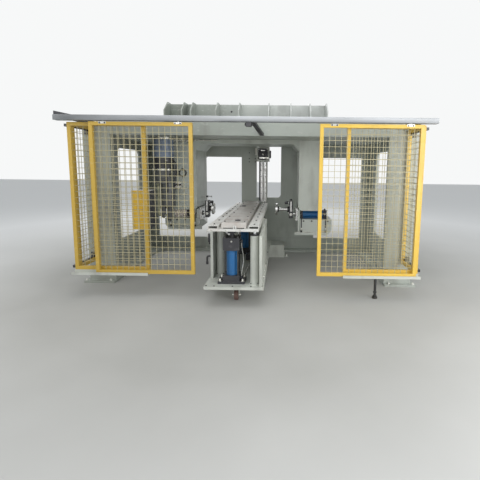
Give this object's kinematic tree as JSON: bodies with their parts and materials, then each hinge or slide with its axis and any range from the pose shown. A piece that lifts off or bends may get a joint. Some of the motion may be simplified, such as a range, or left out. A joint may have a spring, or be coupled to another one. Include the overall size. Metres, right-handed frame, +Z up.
{
  "type": "portal rolling machine",
  "caption": "Welded portal rolling machine with side heads, a rear head, a lift table on a carriage and a mesh fence with sliding doors.",
  "frame": {"origin": "on the floor, under the middle of the machine's width and depth", "axes": "+X to the operator's right along the fence, +Y from the fence to the rear wall, +Z up"},
  "size_m": [4.31, 2.74, 2.47],
  "materials": {
    "frame_paint": "satin light grey-green enamel over welded plate",
    "portal_paint": "satin grey-green enamel, scuffed",
    "guard_yellow": "gloss yellow enamel frames with pale wire mesh",
    "fitting_black": "satin black enamel",
    "cylinder_blue": "gloss blue enamel on tie-rod cylinders",
    "unit_grey": "satin blue-grey enamel",
    "bright_steel": "ground and turned steel",
    "plate_steel": "worn machined plate",
    "hose_rubber": "black hose with crimped ends",
    "wheel_red": "brown-red tread"
  },
  "bodies": {
    "machine": {"left_front_column": "frame_paint", "right_front_column": "frame_paint", "front_beam": "frame_paint", "left_side_plate": "frame_paint", "right_side_plate": "frame_paint", "top_deck": "frame_paint", "base_flange": "frame_paint", "rear_sill_beam": "frame_paint", "left_rear_frame": "frame_paint", "right_rear_frame": "frame_paint", "rear_centre_wall": "frame_paint", "crossbeam": "frame_paint", "crossbeam_ribs": "frame_paint", "portal_lintel": "portal_paint", "left_pier": "portal_paint", "right_pier": "portal_paint", "left_head_bed": "portal_paint", "right_head_bed": "portal_paint", "feed_cylinders": "cylinder_blue", "head_hoses": "hose_rubber", "hydraulic_unit": "unit_grey", "left_pipework": "bright_steel", "rear_slide": "bright_steel", "cart_base": "frame_paint", "cart_panels": "frame_paint", "guide_sleeves": "frame_paint", "lift_cylinders": "cylinder_blue", "door_rail": "frame_paint", "rail_supports": "fitting_black", "left_fixed_panel": "guard_yellow", "right_fixed_panel": "guard_yellow", "left_side_fence": "guard_yellow", "right_side_fence": "guard_yellow", "fence_sills": "frame_paint", "fence_brackets": "fitting_black", "control_box": "guard_yellow"},
    "table": {"lift_rods": "bright_steel", "table_frame": "plate_steel", "table_centre_plate": "plate_steel"},
    "left_spindle": {"left_spindle": "bright_steel"},
    "right_spindle": {"right_spindle": "bright_steel"},
    "rear_head": {"rear_head": "fitting_black"},
    "left_door": {"left_door": "guard_yellow"},
    "right_door": {"right_door": "guard_yellow"},
    "castor_wheel": {"castor_wheel": "wheel_red"}
  },
  "joints": [
    {"name": "table_lift", "type": "slide", "parent": "machine", "child": "table", "axis": [0, 0, 1], "range_m": [-0.035, 0.3]},
    {"name": "left_head_feed", "type": "slide", "parent": "machine", "child": "left_spindle", "axis": [1, 0, 0], "range_m": [-0.03, 0.24]},
    {"name": "right_head_feed", "type": "slide", "parent": "machine", "child": "right_spindle", "axis": [-1, 0, 0], "range_m": [-0.03, 0.12]},
    {"name": "rear_head_drop", "type": "slide", "parent": "machine", "child": "rear_head", "axis": [0, 0, 1], "range_m": [-0.6, 0]},
    {"name": "left_door_slide", "type": "slide", "parent": "machine", "child": "left_door", "axis": [1, 0, 0], "range_m": [-0.4, 0.13]},
    {"name": "right_door_slide", "type": "slide", "parent": "machine", "child": "right_door", "axis": [1, 0, 0], "range_m": [-0.56, 0.18]},
    {"name": "castor_spin", "type": "hinge", "parent": "machine", "child": "castor_wheel", "pos_m": [-0.1, -1.12, 0.06], "axis": [1, 0, 0], "continuous": true}
  ]
}
